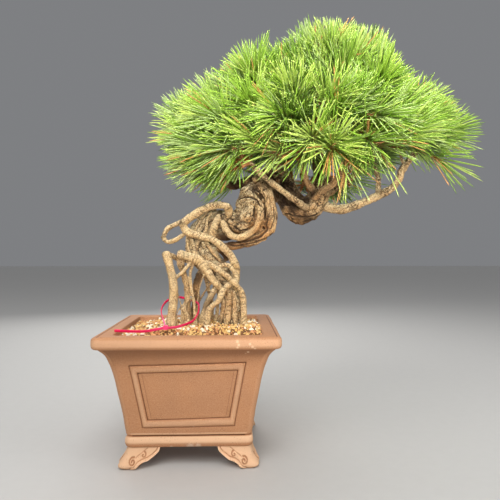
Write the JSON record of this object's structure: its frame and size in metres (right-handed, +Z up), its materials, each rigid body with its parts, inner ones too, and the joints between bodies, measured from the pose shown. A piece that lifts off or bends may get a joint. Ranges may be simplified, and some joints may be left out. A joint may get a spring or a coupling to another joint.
{
  "type": "japanese black pine bonsai in a square clay pot",
  "caption": "Japanese black pine bonsai with bared, twisting roots and a broad needle canopy leaning to one side, in a square unglazed clay pot on bracket feet.",
  "frame": {"origin": "on the table plane, under the middle of the whole plant's box, which lies to the right of the pot because the canopy leans that way", "axes": "+Z up; +X to the right of the front view, the way the canopy leans; +Y away from the viewer of the front"},
  "size_m": [0.532, 0.3342, 0.6014],
  "materials": {
    "clay": "matt unglazed brown clay with pale scratches and a mineral bloom",
    "grit": "loose mixed grit of baked clay and pumice",
    "tie": "smooth moulded plastic, ribbed on one face",
    "bark": "rough grey-brown bark in small plates",
    "root_bark": "pale root bark with rings and dark pores",
    "needles": "paired green needles on brown twigs"
  },
  "bodies": {
    "root": {"pot": "clay", "foot_front_left": "clay", "foot_front_right": "clay", "foot_back_right": "clay", "foot_back_left": "clay", "soil": "grit", "cable_tie": "tie", "trunk": "bark", "root_arch_upper": "root_bark", "root_arch_lower": "root_bark", "root_loop_upper": "root_bark", "root_loop_lower": "root_bark", "root_post": "root_bark", "root_post_arm": "root_bark", "root_knee": "root_bark", "root_knee_leg": "root_bark", "root_cross": "root_bark", "root_diagonal": "root_bark", "root_small_loop": "root_bark", "root_fork_left": "root_bark", "root_fork_back": "root_bark", "root_shaded": "root_bark", "root_thin": "root_bark", "root_strand": "root_bark", "root_stub": "root_bark", "root_band": "root_bark", "root_round_burl": "root_bark", "bough_left_front": "bark", "bough_left_back": "bark", "bough_top_left": "bark", "bough_front": "bark", "bough_back": "bark", "bough_middle": "bark", "bough_middle_back": "bark", "bough_right": "bark", "bough_right_inner": "bark", "dead_twig": "bark", "mass_left_front": "needles", "mass_left_back": "needles", "mass_top_left": "needles", "mass_front": "needles", "mass_back": "needles", "mass_top": "needles", "mass_front_right": "needles", "mass_back_right": "needles", "mass_right": "needles", "mass_top_right": "needles"}
  },
  "joints": []
}
